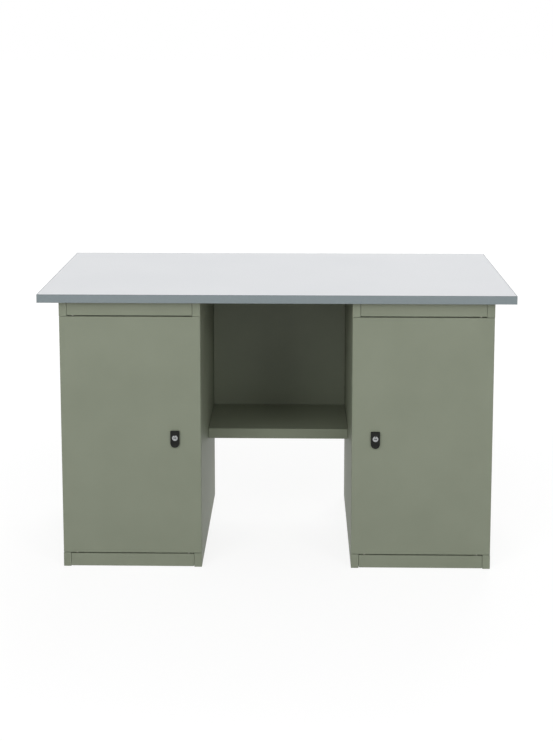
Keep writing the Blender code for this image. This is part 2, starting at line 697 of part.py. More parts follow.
def lock(label, lock_u, finishes, place, door_axis, lock_axis):
    centre = Vector((lock_u, 0, LOCK_HEIGHT))

    # Housing: a bullet-shaped plate with a finger scoop, and a boss through the door
    front = centre - V * HOUSING_PROUD
    outline = (HOUSING_WIDTH, HOUSING_ABOVE, HOUSING_BELOW, HOUSING_CORNER_RADIUS)
    shape = plate(*outline, HOUSING_EDGE, HOUSING_PROUD - FIT_GAP, front)
    housing = put(label + "_lock_housing", shape, finishes["black"], place)
    boss = rod(BOSS_RADIUS, centre - V * (HOUSING_PROUD / 2), V, HOUSING_PROUD / 2 + BOSS_LENGTH)
    combine(housing, [boss], "UNION", place)
    face_bottom = HOUSING_PROUD + CYLINDER_PROUD - CYLINDER_FACE_HEIGHT
    mouth = centre - V * (HOUSING_PROUD + OVERCUT)
    seat_depth = HOUSING_PROUD + OVERCUT - face_bottom + FIT_GAP
    seat = rod(CYLINDER_FACE_RADIUS + FIT_GAP, mouth, V, seat_depth, 32)
    bore = rod(BARREL_RADIUS + FIT_GAP, mouth, V, HOUSING_PROUD + BOSS_LENGTH + 2 * OVERCUT)
    scoop = bmesh.new()
    bmesh.ops.create_uvsphere(scoop, u_segments=20, v_segments=10, radius=1)
    scoop_top = CYLINDER_FACE_RADIUS + SCOOP_FROM_FACE
    scoop_high = (HOUSING_BELOW - scoop_top - SCOOP_MARGIN) / 2
    middle = front - Z * (scoop_top + scoop_high)
    scoop_size = (HOUSING_WIDTH / 2 - SCOOP_MARGIN, SCOOP_DEPTH, scoop_high, 1)
    scoop.transform(Matrix.Translation(middle) @ Matrix.Diagonal(scoop_size))
    combine(housing, [seat, bore, scoop], "DIFFERENCE", place)
    smooth(housing)

    seat = centre + V * (DOOR_SHEET + FIT_GAP)
    shape = hex_ring(NUT_ACROSS_FLATS, BOSS_RADIUS + FIT_GAP, NUT_HEIGHT, seat)
    nut = put(label + "_lock_nut", shape, finishes["zinc"], place)

    # Cylinder: silver face, barrel, and a stud whose head holds the cam
    barrel_end = CAM_FRONT - FIT_GAP
    cam_back = CAM_FRONT + CAM_THICKNESS + FIT_GAP
    face_front = -HOUSING_PROUD - CYLINDER_PROUD
    profile = [
        (0, face_front),
        (CYLINDER_FACE_RADIUS - CYLINDER_CHAMFER, face_front),
        (CYLINDER_FACE_RADIUS, face_front + CYLINDER_CHAMFER),
        (CYLINDER_FACE_RADIUS, -face_bottom),
        (BARREL_RADIUS, -face_bottom),
        (BARREL_RADIUS, barrel_end),
        (STUD_RADIUS, barrel_end),
        (STUD_RADIUS, cam_back),
        (STUD_HEAD_RADIUS, cam_back),
        (STUD_HEAD_RADIUS, cam_back + STUD_HEAD_HEIGHT),
        (0, cam_back + STUD_HEAD_HEIGHT),
    ]
    cylinder = put(label + "_lock_cylinder", turned(profile, V, centre, 32), finishes["zinc"], place)
    half_key = U * KEYWAY_WIDTH / 2 + Z * KEYWAY_HEIGHT / 2
    key_low = centre + V * (face_front - OVERCUT) - half_key
    key_high = centre + V * (face_front + KEYWAY_DEPTH) + half_key
    combine(cylinder, [box(key_low, key_high)], "DIFFERENCE", place)
    smooth(cylinder)

    # Cam: hangs down while the lock is open, and turns behind the keeper
    reach = PEDESTAL_WIDTH - lock_u - KEEPER_FACE - KEEPER_WIDTH + CAM_OVERLAP
    outline = (CAM_WIDTH, CAM_WIDTH / 2, reach, CAM_CORNER_RADIUS)
    shape = plate(*outline, CAM_EDGE, CAM_THICKNESS, centre + V * CAM_FRONT)
    cam = put(label + "_lock_cam", shape, finishes["zinc"], place)
    eye = through_hole(STUD_RADIUS, centre + V * CAM_FRONT, V, CAM_THICKNESS)
    combine(cam, [eye], "DIFFERENCE", place)
    smooth(cam)

    for thing in (housing, nut):
        hang(thing, door_axis, place @ centre)
    for thing in (cylinder, cam):
        hang(thing, lock_axis, world_place(lock_axis))

    # Keeper: an angle on the knee-side panel's return
    foot = PEDESTAL_WIDTH - KEEPER_FACE
    low = LOCK_HEIGHT - KEEPER_HEIGHT / 2
    outline = [
        (0, 0),
        (KEEPER_WIDTH, 0),
        (KEEPER_WIDTH, KEEPER_DEPTH),
        (KEEPER_WIDTH - KEEPER_SHEET, KEEPER_DEPTH),
        (KEEPER_WIDTH - KEEPER_SHEET, KEEPER_SHEET),
        (0, KEEPER_SHEET),
    ]
    origin = Vector((foot - KEEPER_WIDTH, KEEPER_FRONT, low))
    put(label + "_keeper", extruded(outline, (U, V, Z), origin, KEEPER_HEIGHT), finishes["zinc"], place)


def hex_ring(across_flats, bore_radius, height, origin):
    # A hexagonal nut, its bore along V.
    corner = across_flats / 2 / cos(pi / 6)
    count = 24
    shape = bmesh.new()
    loops = []
    for depth in (0, height):
        outer, inner = [], []
        for i in range(count):
            angle = 2 * pi * i / count
            flat = (angle % (pi / 3)) - pi / 6
            outer.append(direction(angle) * (corner * cos(pi / 6) / cos(flat)))
            inner.append(direction(angle) * bore_radius)
        for points in (outer, inner):
            loops.append([shape.verts.new(origin + p + V * depth) for p in points])
    outer_front, inner_front, outer_back, inner_back = loops
    around = [outer_front, outer_back, inner_back, inner_front, outer_front]
    for a, b in zip(around, around[1:]):
        for i in range(count):
            j = (i + 1) % count
            shape.faces.new((a[i], a[j], b[j], b[i]))
    return shape


def direction(angle):
    return U * cos(angle) + Z * sin(angle)


# Knee space

def knee_space(finishes):
    back = KNEE_SHELF_FRONT + KNEE_SHELF_DEPTH
    outline = rectangle((-KNEE_HALF, KNEE_SHELF_FRONT), (KNEE_HALF, back))
    top = Z * KNEE_SHELF_TOP
    shape = pan(outline, KNEE_SHELF_LIP, SHEET, (U, V, -Z), top, KNEE_RETURN, FOLD_RADIUS)
    smooth(put("knee_shelf", shape, finishes["paint"]))

    outline = rectangle((-KNEE_HALF, KNEE_SHELF_TOP - KNEE_SHELF_LIP), (KNEE_HALF, CARCASS_TOP))
    face = V * (FRONT + KNEE_PANEL_FACE)
    shape = pan(outline, KNEE_PANEL_FLANGE, SHEET, (U, Z, V), face, KNEE_RETURN, FOLD_RADIUS)
    smooth(put("knee_back_panel", shape, finishes["paint"]))


def pedestal(label, side, finishes):
    # Pedestal coordinates to world coordinates; side is -1 for the left one and 1 for the right.
    stand = Matrix.Translation((OUTER, FRONT, 0)) @ Matrix.Diagonal((-1, 1, 1, 1))
    place = Matrix.Diagonal((side, 1, 1, 1)) @ stand
    lock_u = PEDESTAL_WIDTH - LOCK_FROM_EDGE[label]
    carcass(label, finishes, place)
    shelf(label, finishes, place)
    hinge_pins(label, finishes, place)
    glides(label, finishes, place)
    worktop_screws(label, finishes, place)
    knee_shelf_bolt(label, finishes, place)
    door_axis = joint_axis(label + "_door_axis", place @ pin_spot(DOOR_BOTTOM))
    lock_axis = joint_axis(label + "_lock_axis", place @ Vector((lock_u, 0, LOCK_HEIGHT)), door_axis)
    door(label, lock_u, finishes, place, door_axis)
    lock(label, lock_u, finishes, place, door_axis, lock_axis)


def main():
    for thing in list(bpy.data.objects):
        bpy.data.objects.remove(thing)
    finishes = {
        "laminate": material("pale_grey_laminate", "#E2E5E8", 0.35),
        "board": material("chipboard", "#B99B72", 0.8),
        "edge": material("grey_edge_band", "#848D8F", 0.45),
        "paint": material("cement_grey_powder_coat", "#838979", 0.45),
        "zinc": material("zinc_plated_steel", "#B9BCBC", 0.35, 1.0),
        "black": material("black_plastic", "#262726", 0.5),
        "nylon": material("white_nylon", "#DADAD4", 0.55),
    }
    spots = []
    for sign in (-1, 1):
        for u in both_ends(SCREW_FROM_FACE):
            spots.append((sign * (OUTER - u), FRONT + PEDESTAL_DEPTH / 2))
    worktop(finishes, spots)
    pedestal("left", -1, finishes)
    pedestal("right", 1, finishes)
    knee_space(finishes)


main()
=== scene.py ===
# Double pedestal workbench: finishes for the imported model, and the small pieces it leaves out
import json
from math import radians, pi

import bpy
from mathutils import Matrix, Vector


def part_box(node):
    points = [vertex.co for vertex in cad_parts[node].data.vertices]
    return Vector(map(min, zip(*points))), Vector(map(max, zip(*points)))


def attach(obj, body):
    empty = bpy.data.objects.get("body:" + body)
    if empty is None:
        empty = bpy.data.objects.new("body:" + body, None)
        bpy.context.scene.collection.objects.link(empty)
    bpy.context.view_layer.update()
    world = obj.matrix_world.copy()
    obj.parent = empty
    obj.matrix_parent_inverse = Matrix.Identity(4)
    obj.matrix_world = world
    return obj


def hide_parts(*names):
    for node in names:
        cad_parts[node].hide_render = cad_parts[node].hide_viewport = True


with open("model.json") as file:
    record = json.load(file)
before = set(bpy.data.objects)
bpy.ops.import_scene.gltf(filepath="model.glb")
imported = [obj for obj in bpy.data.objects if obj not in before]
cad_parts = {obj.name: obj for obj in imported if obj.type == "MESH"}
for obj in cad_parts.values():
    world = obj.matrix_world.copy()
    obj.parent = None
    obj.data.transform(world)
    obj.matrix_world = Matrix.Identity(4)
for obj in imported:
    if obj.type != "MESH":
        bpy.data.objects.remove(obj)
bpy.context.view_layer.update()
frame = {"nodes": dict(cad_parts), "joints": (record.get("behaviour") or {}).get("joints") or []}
print("frame loaded:", len(frame["nodes"]), "nodes")


# Camera: stands about where the photograph was taken from, a little right of the middle
camera = {
    "place": (0.0712, -4.3112, 1.7315),
    "downTilt": 7.2,  # degrees
    "leftTurn": 1.02,
    "lens": 62.54,  # mm
    "sensorWidth": 36,
    "shift": -0.245,
    "clipEnd": 300,  # m, beyond the studio's floor
}

bpy.ops.object.camera_add(
    location=camera["place"],
    rotation=(radians(90 - camera["downTilt"]), 0, radians(camera["leftTurn"])),
)
view = bpy.context.object
view.name = "workbench_camera"
view.data.sensor_width = camera["sensorWidth"]
view.data.lens = camera["lens"]
view.data.shift_y = camera["shift"]
view.data.clip_end = camera["clipEnd"]
bpy.context.scene.camera = view
bpy.context.scene.view_settings.view_transform = "Standard"
print("camera placed")


# Tools for the pieces

hair = 0.0001  # m, how far off its place an edge may lie when it is picked by place


def deselectAll():
    if bpy.context.mode != "OBJECT":
        bpy.ops.object.mode_set(mode="OBJECT")
    bpy.ops.object.select_all(action="DESELECT")


def settle(name):
    # a fresh primitive keeps its place in its mesh
    piece = bpy.context.object
    piece.name = name
    bpy.ops.object.transform_apply(location=True, rotation=True, scale=True)
    return piece


def pick(piece, kind, test):
    # selects what passes the test by its middle, and its normal on a face, and stays in edit mode
    if bpy.context.mode != "OBJECT":
        bpy.ops.object.mode_set(mode="OBJECT")
    mesh = piece.data
    for group in (mesh.vertices, mesh.edges, mesh.polygons):
        group.foreach_set("select", [False] * len(group))
    if kind == "FACE":
        for face in mesh.polygons:
            face.select = test(face.center, face.normal)
    if kind == "EDGE":
        points = mesh.vertices
        for edge in mesh.edges:
            start, end = (points[i].co for i in edge.vertices)
            edge.select = test((start + end) / 2, (end - start).normalized())
    bpy.ops.object.mode_set(mode="EDIT")
    bpy.ops.mesh.select_mode(type=kind)


def pull(x, y, z):
    bpy.ops.mesh.extrude_region_move(TRANSFORM_OT_translate={"value": (x, y, z)})


def carve(piece, tool, operation="DIFFERENCE"):
    # cuts the tool out of the piece, or joins it on, and removes the tool
    deselectAll()
    bpy.context.view_layer.objects.active = piece
    change = piece.modifiers.new("carve", "BOOLEAN")
    change.operation = operation
    change.solver = "MANIFOLD"
    change.object = tool
    bpy.ops.object.modifier_apply(modifier="carve")
    bpy.data.objects.remove(tool)


def polish(piece, angle):
    # merges doubles, turns the faces outwards, smooths round edges and keeps large faces flat
    deselectAll()
    piece.select_set(True)
    bpy.context.view_layer.objects.active = piece
    bpy.ops.object.mode_set(mode="EDIT")
    bpy.ops.mesh.select_all(action="SELECT")
    bpy.ops.mesh.remove_doubles(threshold=0.00001)
    bpy.ops.mesh.normals_make_consistent(inside=False)
    bpy.ops.object.mode_set(mode="OBJECT")
    bpy.ops.object.shade_smooth_by_angle(angle=radians(angle))
    even = piece.modifiers.new("even", "WEIGHTED_NORMAL")
    even.keep_sharp = True
    bpy.ops.object.modifier_apply(modifier="even")
    piece.data.materials.clear()  # carving leaves an empty slot


def copyOf(piece, name, x, y, z):
    # a copy with a mesh of its own, moved by x, y and z
    deselectAll()
    piece.select_set(True)
    bpy.context.view_layer.objects.active = piece
    bpy.ops.object.duplicate()
    bpy.ops.transform.translate(value=(x, y, z))
    return settle(name)


# Tools for the finishes

def colour(code):
    # an sRGB hex value as linear light
    parts = [int(code[i:i + 2], 16) / 255 for i in (0, 2, 4)]
    return [p / 12.92 if p <= 0.04045 else ((p + 0.055) / 1.055) ** 2.4 for p in parts] + [1]


def addNode(tree, kind, settings=None, values=None, links=None):
    # settings are the node's own, values are its sockets', links come from other nodes' sockets
    node = tree.nodes.new(kind)
    for name, value in (settings or {}).items():
        setattr(node, name, value)
    for name, value in (values or {}).items():
        node.inputs[name].default_value = value
    for name, source in (links or {}).items():
        tree.links.new(source, node.inputs[name])
    return node


def newFinish(name):
    # an empty material, its tree and its surface shader
    finish = bpy.data.materials.new(name)
    finish.use_nodes = True
    tree = finish.node_tree
    tree.nodes.clear()
    shader = addNode(tree, "ShaderNodeBsdfPrincipled")
    addNode(tree, "ShaderNodeOutputMaterial", links={"Surface": shader.outputs[0]})
    return finish, tree, shader


# Powder coat on folded sheet steel, cement grey, satin. Sprayed as dry powder and baked, so it has
# a fine orange peel, mirrors bright surroundings at a grazing angle, and draws thin on folds.
powderCoat = {
    "colour": "797F6E",
    "tint": "7E8473",  # where the powder lies thinner
    "foldTint": "868C7D",
    "foldRadius": 0.0012,
    "foldWear": 0.55,  # the fold tint's largest share
    "roughness": (0.49, 0.57),
    "specularLevel": 0.45,
    "cloud": 1 / 7,  # m, slow change in the powder's thickness
    "grain": 1 / 420,  # m, drawn coarser than the real powder's 0.1 mm so that it shows
    "grainShare": 0.35,
    "peel": 0.006,  # m, drawn about twice as coarse as real so that it shows
    "peelDepth": 0.00003,
    "sheetWave": 0.22,  # m, flat sheet is never quite flat
    "sheetWaveDepth": 0.00008,
}


def powderCoatFinish():
    finish, tree, shader = newFinish("powder_coat_cement_grey")
    place = addNode(tree, "ShaderNodeTexCoord").outputs["Object"]
    cloud = addNode(tree, "ShaderNodeTexNoise", None,
                    {"Scale": 1 / powderCoat["cloud"], "Detail": 3, "Roughness": 0.5}, {"Vector": place})
    grain = addNode(tree, "ShaderNodeTexNoise", None, {"Scale": 1 / powderCoat["grain"], "Detail": 1},
                    {"Vector": place})
    both = addNode(tree, "ShaderNodeMath", {"operation": "MULTIPLY_ADD"}, {1: powderCoat["grainShare"]},
                   {0: grain.outputs[0], 2: cloud.outputs[0]})
    thin = addNode(tree, "ShaderNodeMapRange", None, {"From Min": 0.45, "From Max": 0.95},
                   {"Value": both.outputs[0]})
    base = addNode(tree, "ShaderNodeMix", {"data_type": "RGBA"},
                   {6: colour(powderCoat["colour"]), 7: colour(powderCoat["tint"])},
                   {0: thin.outputs[0]})

    # folds: a rounded normal, and the share by which it differs from the flat one
    fold = addNode(tree, "ShaderNodeBevel", {"samples": 4}, {"Radius": powderCoat["foldRadius"]})
    flat = addNode(tree, "ShaderNodeNewGeometry")
    likeness = addNode(tree, "ShaderNodeVectorMath", {"operation": "DOT_PRODUCT"}, None,
                       {0: fold.outputs[0], 1: flat.outputs["True Normal"]})
    worn = addNode(tree, "ShaderNodeMapRange", None,
                   {"From Min": 0.995, "From Max": 0.8, "To Max": powderCoat["foldWear"]},
                   {"Value": likeness.outputs["Value"]})
    painted = addNode(tree, "ShaderNodeMix", {"data_type": "RGBA"}, {7: colour(powderCoat["foldTint"])},
                      {0: worn.outputs[0], 6: base.outputs[2]})

    low, high = powderCoat["roughness"]
    gloss = addNode(tree, "ShaderNodeMapRange", None, {"To Min": low, "To Max": high},
                    {"Value": cloud.outputs[0]})
    wave = addNode(tree, "ShaderNodeTexNoise", None,
                   {"Scale": 1 / powderCoat["sheetWave"], "Detail": 0}, {"Vector": place})
    peel = addNode(tree, "ShaderNodeTexNoise", None,
                   {"Scale": 1 / powderCoat["peel"], "Detail": 1}, {"Vector": place})
    sheet = addNode(tree, "ShaderNodeBump", None,
                    {"Strength": 1, "Distance": powderCoat["sheetWaveDepth"]},
                    {"Height": wave.outputs[0], "Normal": fold.outputs[0]})
    skin = addNode(tree, "ShaderNodeBump", None, {"Strength": 1, "Distance": powderCoat["peelDepth"]},
                   {"Height": peel.outputs[0], "Normal": sheet.outputs[0]})
    shader.inputs["Specular IOR Level"].default_value = powderCoat["specularLevel"]
    tree.links.new(painted.outputs[2], shader.inputs["Base Color"])
    tree.links.new(gloss.outputs[0], shader.inputs["Roughness"])
    tree.links.new(skin.outputs[0], shader.inputs["Normal"])
    return finish


# High-pressure laminate, light grey, satin. Resin-soaked paper pressed against a textured plate,
# which gives an even, hard surface with a very fine grain and a faint speckle.
laminate = {
    "colour": "EAECEF",
    "speck": "E2E5E9",
    "speckSize": 1 / 260,  # m, drawn coarser than the real 0.5 mm so that it shows
    "speckShare": 0.8,
    "ior": 1.5,
    "roughness": (0.34, 0.42),
    "cloud": 1 / 3.5,  # m, slow change in the gloss
    "grain": 0.0035,  # m, drawn coarser than the real 0.4 mm so that it shows
    "grainDepth": 0.00003,
}


def laminateFinish():
    finish, tree, shader = newFinish("high_pressure_laminate_light_grey")
    place = addNode(tree, "ShaderNodeTexCoord").outputs["Object"]
    speck = addNode(tree, "ShaderNodeTexNoise", None,
                    {"Scale": 1 / laminate["speckSize"], "Detail": 3, "Roughness": 0.7},
                    {"Vector": place})
    cloud = addNode(tree, "ShaderNodeTexNoise", None, {"Scale": 1 / laminate["cloud"], "Detail": 3},
                    {"Vector": place})
    share = addNode(tree, "ShaderNodeMapRange", None,
                    {"From Min": 0.45, "From Max": 0.75, "To Max": laminate["speckShare"]},
                    {"Value": speck.outputs[0]})
    base = addNode(tree, "ShaderNodeMix", {"data_type": "RGBA"},
                   {6: colour(laminate["colour"]), 7: colour(laminate["speck"])}, {0: share.outputs[0]})
    low, high = laminate["roughness"]
    gloss = addNode(tree, "ShaderNodeMapRange", None,
                    {"From Min": 0.35, "From Max": 0.65, "To Min": low, "To Max": high},
                    {"Value": cloud.outputs[0]})
    grain = addNode(tree, "ShaderNodeTexNoise", None, {"Scale": 1 / laminate["grain"], "Detail": 2},
                    {"Vector": place})
    plate = addNode(tree, "ShaderNodeBump", None, {"Strength": 1, "Distance": laminate["grainDepth"]},
                    {"Height": grain.outputs[0]})
    shader.inputs["IOR"].default_value = laminate["ior"]
    tree.links.new(base.outputs[2], shader.inputs["Base Color"])
    tree.links.new(gloss.outputs[0], shader.inputs["Roughness"])
    tree.links.new(plate.outputs[0], shader.inputs["Normal"])
    return finish


# ABS edge strip, mid grey, extruded and glued on hot, then trimmed with a small radius. The trimmed
# corners are painted a shade darker: partly the scraped plastic's own tone, partly painted shade.
edgeStrip = {
    "colour": "7B8588",
    # painted shade on the rounded corners, together with the scraped plastic's tone
    "corner": "5C6568",
    "roughness": 0.45,
    "cornerRadius": 0.0016,
    "streak": 0.00625,  # m
    "streakShare": 0.25,
    "embossing": 0.0025,  # m, drawn coarser than the real 0.5 mm so that it shows
    "embossingDepth": 0.00003,
}


def edgeStripFinish():
    finish, tree, shader = newFinish("abs_edge_strip_grey")
    place = addNode(tree, "ShaderNodeTexCoord").outputs["Object"]
    rounded = addNode(tree, "ShaderNodeBevel", {"samples": 4}, {"Radius": edgeStrip["cornerRadius"]})
    flat = addNode(tree, "ShaderNodeNewGeometry")
    likeness = addNode(tree, "ShaderNodeVectorMath", {"operation": "DOT_PRODUCT"}, None,
                       {0: rounded.outputs[0], 1: flat.outputs["True Normal"]})
    # the rounded corners, where painted shade goes on as the darker corner colour
    paintedShadeCorners = addNode(tree, "ShaderNodeMapRange", None, {"From Min": 0.995, "From Max": 0.85},
                      {"Value": likeness.outputs["Value"]})
    streak = addNode(tree, "ShaderNodeTexNoise", None, {"Scale": 1 / edgeStrip["streak"], "Detail": 2},
                     {"Vector": place})
    tone = addNode(tree, "ShaderNodeMapRange", None, {"To Max": edgeStrip["streakShare"]},
                   {"Value": streak.outputs[0]})
    share = addNode(tree, "ShaderNodeMath", {"operation": "MAXIMUM"}, None,
                    {0: paintedShadeCorners.outputs[0], 1: tone.outputs[0]})
    base = addNode(tree, "ShaderNodeMix", {"data_type": "RGBA"},
                   {6: colour(edgeStrip["colour"]), 7: colour(edgeStrip["corner"])},
                   {0: share.outputs[0]})
    emboss = addNode(tree, "ShaderNodeTexNoise", None, {"Scale": 1 / edgeStrip["embossing"], "Detail": 2},
                     {"Vector": place})
    relief = addNode(tree, "ShaderNodeBump", None,
                     {"Strength": 1, "Distance": edgeStrip["embossingDepth"]},
                     {"Height": emboss.outputs[0], "Normal": rounded.outputs[0]})
    shader.inputs["Roughness"].default_value = edgeStrip["roughness"]
    tree.links.new(base.outputs[2], shader.inputs["Base Color"])
    tree.links.new(relief.outputs[0], shader.inputs["Normal"])
    return finish


# Chipboard: pressed wood chips, pale brown, matt, with flakes 2 to 8 mm long
chipboard = {
    "wood": "B9935F",
    "darkChip": "8A6538",
    "flake": 0.005,  # m
    "squash": (1, 1.6, 2.5),  # how much smaller the flakes are in depth and in height
    "reliefDepth": 0.0003,
    "roughness": 0.85,
}


def chipboardFinish():
    finish, tree, shader = newFinish("chipboard_raw")
    place = addNode(tree, "ShaderNodeTexCoord").outputs["Object"]
    squash = addNode(tree, "ShaderNodeMapping", None, {"Scale": chipboard["squash"]}, {"Vector": place})
    flakes = addNode(tree, "ShaderNodeTexVoronoi", None, {"Scale": 1 / chipboard["flake"]},
                     {"Vector": squash.outputs[0]})
    tone = addNode(tree, "ShaderNodeSeparateColor", None, None, {0: flakes.outputs["Color"]})
    base = addNode(tree, "ShaderNodeMix", {"data_type": "RGBA"},
                   {6: colour(chipboard["wood"]), 7: colour(chipboard["darkChip"])}, {0: tone.outputs[0]})
    relief = addNode(tree, "ShaderNodeBump", None,
                     {"Strength": 0.5, "Distance": chipboard["reliefDepth"]},
                     {"Height": flakes.outputs["Distance"]})
    shader.inputs["Roughness"].default_value = chipboard["roughness"]
    tree.links.new(base.outputs[2], shader.inputs["Base Color"])
    tree.links.new(relief.outputs[0], shader.inputs["Normal"])
    return finish


# Backing laminate: kraft paper soaked in phenolic resin, brown, with a sanded, fibrous face
backer = {
    "colour": "7A6248",
    "fibre": "5E4A36",
    "fibreLength": 1 / 60,  # m
    "fibreSlimness": 9,  # length to width
    "fibreDepth": 0.0002,
    "roughness": 0.7,
}


def backerFinish():
    finish, tree, shader = newFinish("phenolic_backing_paper")
    place = addNode(tree, "ShaderNodeTexCoord").outputs["Object"]
    along = addNode(tree, "ShaderNodeMapping", None, {"Scale": (1, backer["fibreSlimness"], 1)},
                    {"Vector": place})
    fibre = addNode(tree, "ShaderNodeTexNoise", None,
                    {"Scale": 1 / backer["fibreLength"], "Detail": 5, "Roughness": 0.7},
                    {"Vector": along.outputs[0]})
    share = addNode(tree, "ShaderNodeMapRange", None, {"From Min": 0.35, "From Max": 0.7},
                    {"Value": fibre.outputs[0]})
    base = addNode(tree, "ShaderNodeMix", {"data_type": "RGBA"},
                   {6: colour(backer["colour"]), 7: colour(backer["fibre"])}, {0: share.outputs[0]})
    relief = addNode(tree, "ShaderNodeBump", None, {"Strength": 0.6, "Distance": backer["fibreDepth"]},
                     {"Height": fibre.outputs[0]})
    shader.inputs["Roughness"].default_value = backer["roughness"]
    tree.links.new(base.outputs[2], shader.inputs["Base Color"])
    tree.links.new(relief.outputs[0], shader.inputs["Normal"])
    return finish


# Zinc-plated steel, clear passivated: bright, slightly blue, with a faint rainbow cloud and fine
# marks from the plating drum
zincPlate = {
    "blue": "A2A9AF",
    "warm": "ABA89C",
    "cloud": 1 / 90,  # m
    "mark": 1 / 700,  # m, drawn coarser than the real 0.3 mm so that it shows
    "markDepth": 0.00004,
    "edge": 0.0003,  # m, the radius of worn edges
    "roughness": (0.28, 0.45),
}


def zincPlateFinish():
    finish, tree, shader = newFinish("zinc_plated_steel")
    place = addNode(tree, "ShaderNodeTexCoord").outputs["Object"]
    cloud = addNode(tree, "ShaderNodeTexNoise", None, {"Scale": 1 / zincPlate["cloud"], "Detail": 3},
                    {"Vector": place})
    share = addNode(tree, "ShaderNodeMapRange", None, {"From Min": 0.35, "From Max": 0.65},
                    {"Value": cloud.outputs[0]})
    base = addNode(tree, "ShaderNodeMix", {"data_type": "RGBA"},
                   {6: colour(zincPlate["blue"]), 7: colour(zincPlate["warm"])}, {0: share.outputs[0]})
    mark = addNode(tree, "ShaderNodeTexNoise", None, {"Scale": 1 / zincPlate["mark"], "Detail": 2},
                   {"Vector": place})
    low, high = zincPlate["roughness"]
    gloss = addNode(tree, "ShaderNodeMapRange", None, {"To Min": low, "To Max": high},
                    {"Value": mark.outputs[0]})
    edge = addNode(tree, "ShaderNodeBevel", {"samples": 4}, {"Radius": zincPlate["edge"]})
    relief = addNode(tree, "ShaderNodeBump", None, {"Strength": 0.4, "Distance": zincPlate["markDepth"]},
                     {"Height": mark.outputs[0], "Normal": edge.outputs[0]})
    shader.inputs["Metallic"].default_value = 1
    tree.links.new(base.outputs[2], shader.inputs["Base Color"])
    tree.links.new(gloss.outputs[0], shader.inputs["Roughness"])
    tree.links.new(relief.outputs[0], shader.inputs["Normal"])
    return finish


# Nickel-plated die-cast zinc: plain silver, turned on its face, so its marks run in circles
nickel = {
    "colour": "B7B9BA",
    "shade": "9C9E9F",
    "turning": 0.0007,  # m from ring to ring, drawn coarser than the real 0.1 mm so that it shows
    "turningDepth": 0.00003,
    "roughness": 0.26,
}


def nickelFinish(name, centre):
    finish, tree, shader = newFinish(name)
    place = addNode(tree, "ShaderNodeTexCoord").outputs["Object"]
    middle = addNode(tree, "ShaderNodeMapping", {"vector_type": "TEXTURE"}, {"Location": centre},
                     {"Vector": place})
    flatten = addNode(tree, "ShaderNodeVectorMath", {"operation": "MULTIPLY"}, {1: (1, 0, 1)},
                      {0: middle.outputs[0]})
    fromAxis = addNode(tree, "ShaderNodeVectorMath", {"operation": "LENGTH"}, None,
                       {0: flatten.outputs[0]})
    rings = addNode(tree, "ShaderNodeTexNoise", {"noise_dimensions": "1D"},
                    {"Scale": 1 / nickel["turning"], "Detail": 2}, {"W": fromAxis.outputs["Value"]})
    base = addNode(tree, "ShaderNodeMix", {"data_type": "RGBA"},
                   {6: colour(nickel["colour"]), 7: colour(nickel["shade"])}, {0: rings.outputs[0]})
    relief = addNode(tree, "ShaderNodeBump", None, {"Strength": 0.5, "Distance": nickel["turningDepth"]},
                     {"Height": rings.outputs[0]})
    shader.inputs["Metallic"].default_value = 1
    shader.inputs["Roughness"].default_value = nickel["roughness"]
    tree.links.new(base.outputs[2], shader.inputs["Base Color"])
    tree.links.new(relief.outputs[0], shader.inputs["Normal"])
    return finish


# Glass-filled nylon, black, moulded in a spark-eroded tool: a fine, even, half-matt grain
mouldedBlack = {
    "colour": "131412",
    "rubbed": "1C1D1B",
    "specularLevel": 0.2,  # the grain scatters most of what it would mirror
    "roughness": (0.5, 0.62),
    "cloud": 1 / 60,  # m, slow change from rubbed to fresh
    "grain": 0.0007,  # m, drawn coarser than the real 0.2 mm so that it shows
    "grainDepth": 0.00004,
}


def mouldedBlackFinish():
    finish, tree, shader = newFinish("moulded_nylon_black")
    place = addNode(tree, "ShaderNodeTexCoord").outputs["Object"]
    grain = addNode(tree, "ShaderNodeTexNoise", None, {"Scale": 1 / mouldedBlack["grain"], "Detail": 2},
                    {"Vector": place})
    cloud = addNode(tree, "ShaderNodeTexNoise", None, {"Scale": 1 / mouldedBlack["cloud"], "Detail": 2},
                    {"Vector": place})
    base = addNode(tree, "ShaderNodeMix", {"data_type": "RGBA"},
                   {6: colour(mouldedBlack["colour"]), 7: colour(mouldedBlack["rubbed"])},
                   {0: cloud.outputs[0]})
    low, high = mouldedBlack["roughness"]
    gloss = addNode(tree, "ShaderNodeMapRange", None, {"To Min": low, "To Max": high},
                    {"Value": cloud.outputs[0]})
    relief = addNode(tree, "ShaderNodeBump", None,
                     {"Strength": 0.6, "Distance": mouldedBlack["grainDepth"]},
                     {"Height": grain.outputs[0]})
    shader.inputs["Specular IOR Level"].default_value = mouldedBlack["specularLevel"]
    tree.links.new(base.outputs[2], shader.inputs["Base Color"])
    tree.links.new(gloss.outputs[0], shader.inputs["Roughness"])
    tree.links.new(relief.outputs[0], shader.inputs["Normal"])
    return finish


# Natural nylon, moulded: milky white and slightly waxy, with a soft, uneven skin
nylon = {
    "colour": "E9E7DD",
    "shade": "DAD7CA",
    "roughness": 0.4,
    "cloud": 0.004,  # m
    "skinDepth": 0.00004,
}


def nylonFinish():
    finish, tree, shader = newFinish("natural_nylon")
    place = addNode(tree, "ShaderNodeTexCoord").outputs["Object"]
    cloud = addNode(tree, "ShaderNodeTexNoise", None, {"Scale": 1 / nylon["cloud"], "Detail": 2},
                    {"Vector": place})
    base = addNode(tree, "ShaderNodeMix", {"data_type": "RGBA"},
                   {6: colour(nylon["colour"]), 7: colour(nylon["shade"])}, {0: cloud.outputs[0]})
    relief = addNode(tree, "ShaderNodeBump", None, {"Strength": 0.4, "Distance": nylon["skinDepth"]},
                     {"Height": cloud.outputs[0]})
    shader.inputs["Roughness"].default_value = nylon["roughness"]
    tree.links.new(base.outputs[2], shader.inputs["Base Color"])
    tree.links.new(relief.outputs[0], shader.inputs["Normal"])
    return finish


